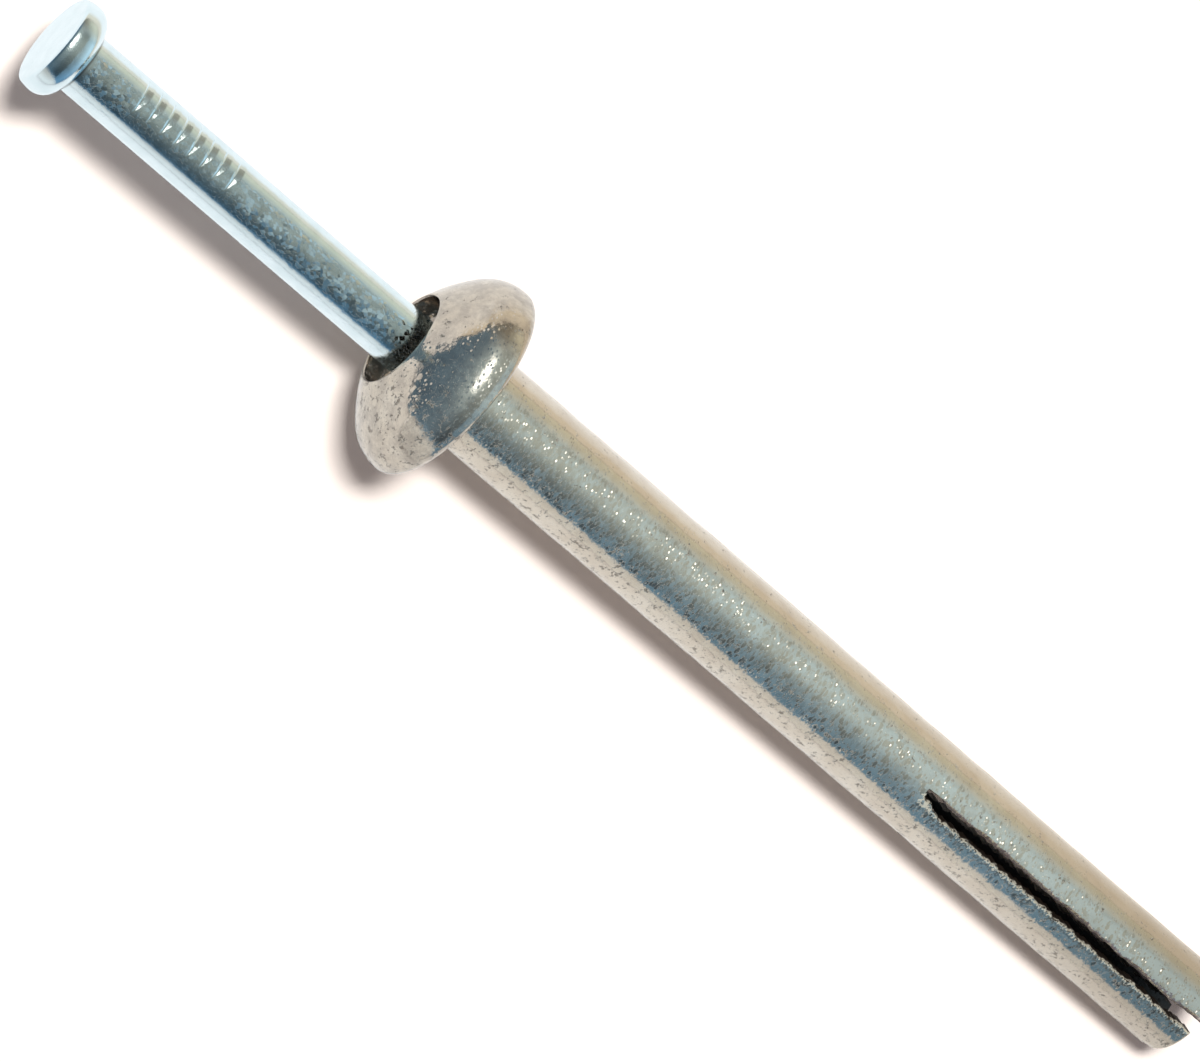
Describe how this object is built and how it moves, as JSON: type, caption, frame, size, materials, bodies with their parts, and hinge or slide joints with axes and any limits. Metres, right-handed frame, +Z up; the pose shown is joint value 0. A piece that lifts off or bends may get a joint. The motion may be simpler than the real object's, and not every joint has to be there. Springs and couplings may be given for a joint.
{
  "type": "hammer drive anchor",
  "caption": "Nail-in masonry anchor with a domed mushroom head, a slotted two-legged body and a drive nail standing proud of the head, lying on its rim and tip.",
  "frame": {"origin": "on the plane that the anchor lies on, below the middle of its bounding box", "axes": "+X along the anchor seen from above, from the nail's head to the tip; +Z up. The anchor's axis dips 3.312 degrees toward the tip, because it lies on the rim of its head and on its tip. The slot stands 8 degrees off the upright, toward -Y"},
  "size_m": [0.0964, 0.0138, 0.0137],
  "materials": {
    "cast_zinc": "as-cast zinc alloy, frosted and pitted",
    "zinc_plate": "bright zinc-plated steel"
  },
  "bodies": {
    "anchor": {"anchor_body": "cast_zinc"},
    "nail": {"drive_nail": "zinc_plate"}
  },
  "joints": [
    {"name": "nail_drive", "type": "slide", "parent": "anchor", "child": "nail", "axis": [0.9983, 0, -0.0578], "range_m": [0, 0.02775], "deforming": ["anchor_body"]}
  ]
}
